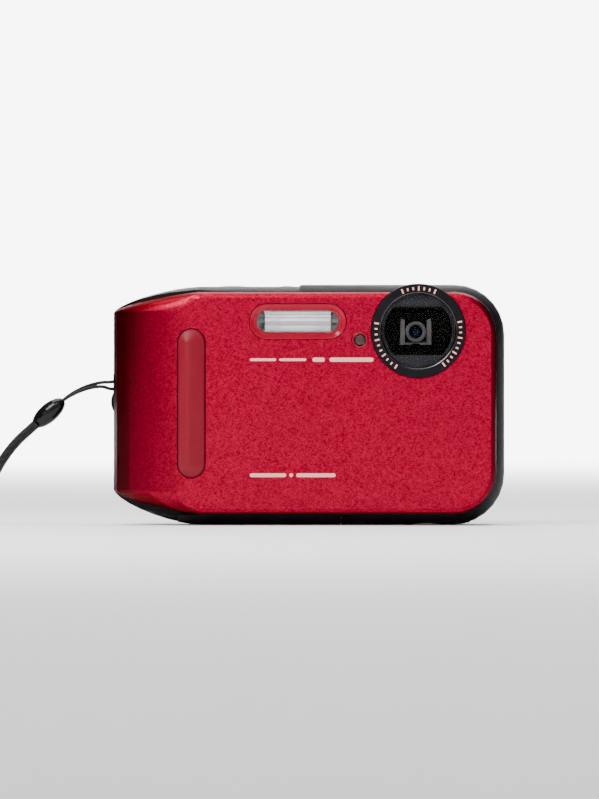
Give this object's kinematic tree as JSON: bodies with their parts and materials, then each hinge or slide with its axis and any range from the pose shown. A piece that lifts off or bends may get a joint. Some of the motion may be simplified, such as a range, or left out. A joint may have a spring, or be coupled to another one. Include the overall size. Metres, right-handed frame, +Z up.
{
  "type": "compact digital camera",
  "caption": "Slim waterproof compact camera with a wrapped metal front, folded internal lens, flash window, finger grip, rear screen and keys, base door and corded wrist strap.",
  "frame": {"origin": "on the surface that the camera stands on, below the middle of the camera's body", "axes": "+X to the right as the front is looked at, along the width; +Y from the front to the screen; +Z up"},
  "size_m": [0.193, 0.0266, 0.0626],
  "materials": {
    "red_metal": "metallic red lacquer on formed aluminium",
    "red_silicone": "matte dark red silicone",
    "red_trim": "metallic red moulded trim",
    "shell_black": "satin charcoal moulding",
    "gloss_black": "polished black",
    "frame_black": "glossy black moulding",
    "clear_glass": "coated clear window",
    "lens_glass": "coated optical glass",
    "inner_black": "matte black inner moulding",
    "steel": "plain steel",
    "plated": "bright plated metal",
    "alu": "pressed aluminium",
    "board": "green circuit board",
    "amber": "amber translucent lamp lens",
    "seal": "soft seal rubber",
    "seal_orange": "orange silicone seal",
    "screen_glass": "black bordered display window",
    "display": "display module",
    "cell": "wrapped lithium battery",
    "brass_gold": "gold plated",
    "cord_black": "woven black cord",
    "silver_key": "satin silver key",
    "sleeve": "shrink sleeve"
  },
  "bodies": {
    "camera": {"front_panel": "red_metal", "grip_bar": "red_silicone", "front_frame": "frame_black", "rear_case": "shell_black", "case_gasket": "seal", "lens_ring": "shell_black", "lens_window": "clear_glass", "window_mask": "inner_black", "lens_holder": "inner_black", "front_lens": "lens_glass", "lens_housing": "inner_black", "prism": "lens_glass", "guide_rods": "steel", "zoom_motor": "alu", "image_sensor": "board", "flash_bezel": "red_trim", "flash_window": "clear_glass", "flash_reflector": "plated", "flash_tube": "clear_glass", "flash_capacitor": "sleeve", "af_lamp": "amber", "top_board": "board", "microphone": "brass_gold", "speaker": "inner_black", "button_board": "board", "screen_window": "screen_glass", "screen_panel": "display", "main_board": "board", "processor_shield": "plated", "chassis": "alu", "battery_box": "inner_black", "battery": "cell", "card_socket": "plated", "memory_card": "cell", "usb_connector": "plated", "door_hinge_pin": "steel", "tripod_nut": "steel", "case_screws": "steel", "strap_lug": "gloss_black", "strap_lead": "cord_black", "strap_joiner": "gloss_black", "strap_band": "cord_black", "strap_hank": "cord_black"},
    "zoom_carriage": {"zoom_group": "inner_black"},
    "focus_carriage": {"focus_group": "inner_black"},
    "zoom_screw": {"zoom_screw": "steel"},
    "shutter": {"shutter_button": "silver_key"},
    "power": {"power_button": "shell_black"},
    "rocker": {"zoom_rocker": "shell_black"},
    "movie": {"movie_button": "shell_black"},
    "playback": {"playback_button": "shell_black"},
    "mode": {"mode_button": "shell_black"},
    "menu": {"menu_button": "shell_black"},
    "delete": {"delete_button": "shell_black"},
    "centre": {"centre_button": "shell_black"},
    "carrier": {"control_carrier": "inner_black"},
    "ring": {"control_ring": "shell_black"},
    "door": {"battery_door": "shell_black", "door_gasket": "seal_orange"},
    "latch": {"door_latch": "shell_black"}
  },
  "joints": [
    {"name": "shutter_press", "type": "slide", "parent": "camera", "child": "shutter", "axis": [0, 0, -1], "range_m": [0, 0.00045], "stiffness_N_per_m": 500, "springref_m": -0.0002},
    {"name": "power_press", "type": "slide", "parent": "camera", "child": "power", "axis": [0, 0, -1], "range_m": [0, 0.00045], "stiffness_N_per_m": 500, "springref_m": -0.0002},
    {"name": "movie_press", "type": "slide", "parent": "camera", "child": "movie", "axis": [0, -1, 0], "range_m": [0, 0.0005], "stiffness_N_per_m": 400, "springref_m": -0.0001},
    {"name": "playback_press", "type": "slide", "parent": "camera", "child": "playback", "axis": [0, -1, 0], "range_m": [0, 0.0005], "stiffness_N_per_m": 400, "springref_m": -0.0001},
    {"name": "mode_press", "type": "slide", "parent": "camera", "child": "mode", "axis": [0, -1, 0], "range_m": [0, 0.0005], "stiffness_N_per_m": 400, "springref_m": -0.0001},
    {"name": "menu_press", "type": "slide", "parent": "camera", "child": "menu", "axis": [0, -1, 0], "range_m": [0, 0.0005], "stiffness_N_per_m": 400, "springref_m": -0.0001},
    {"name": "delete_press", "type": "slide", "parent": "camera", "child": "delete", "axis": [0, -1, 0], "range_m": [0, 0.0005], "stiffness_N_per_m": 400, "springref_m": -0.0001},
    {"name": "centre_press", "type": "slide", "parent": "camera", "child": "centre", "axis": [0, -1, 0], "range_m": [0, 0.0004], "stiffness_N_per_m": 400, "springref_m": -0.0001},
    {"name": "zoom_rock", "type": "hinge", "parent": "camera", "child": "rocker", "pos_m": [-0.03335, 0.0102, 0.0571], "axis": [0, 0, 1], "range_deg": [-4, 4], "stiffness_Nm_per_rad": 0.02},
    {"name": "carrier_rock", "type": "hinge", "parent": "camera", "child": "carrier", "pos_m": [-0.0334, 0.0076, 0.031], "axis": [0, 0, 1], "range_deg": [-2, 2], "stiffness_Nm_per_rad": 0.03},
    {"name": "ring_rock", "type": "hinge", "parent": "carrier", "child": "ring", "pos_m": [-0.0334, 0.01005, 0.031], "axis": [1, 0, 0], "range_deg": [-2, 2], "stiffness_Nm_per_rad": 0.03},
    {"name": "door_swing", "type": "hinge", "parent": "camera", "child": "door", "pos_m": [-0.0128, 0.0074, 0.0019], "axis": [1, 0, 0], "range_deg": [0, 100]},
    {"name": "latch_slide", "type": "slide", "parent": "door", "child": "latch", "axis": [1, 0, 0], "range_m": [0, 0.0022]},
    {"name": "zoom_slide", "type": "slide", "parent": "camera", "child": "zoom_carriage", "axis": [0, 0, 1], "range_m": [-0.009, 0.004]},
    {"name": "focus_slide", "type": "slide", "parent": "camera", "child": "focus_carriage", "axis": [0, 0, 1], "range_m": [-0.003, 0.002]},
    {"name": "screw_spin", "type": "hinge", "parent": "camera", "child": "zoom_screw", "pos_m": [0.0346, 0.001, 0.025], "axis": [0, 0, 1], "range_deg": [-2170, 970]}
  ],
  "couplings": [
    {"joint": "screw_spin", "follows": "zoom_slide", "rad_per_m": 4188.8}
  ]
}
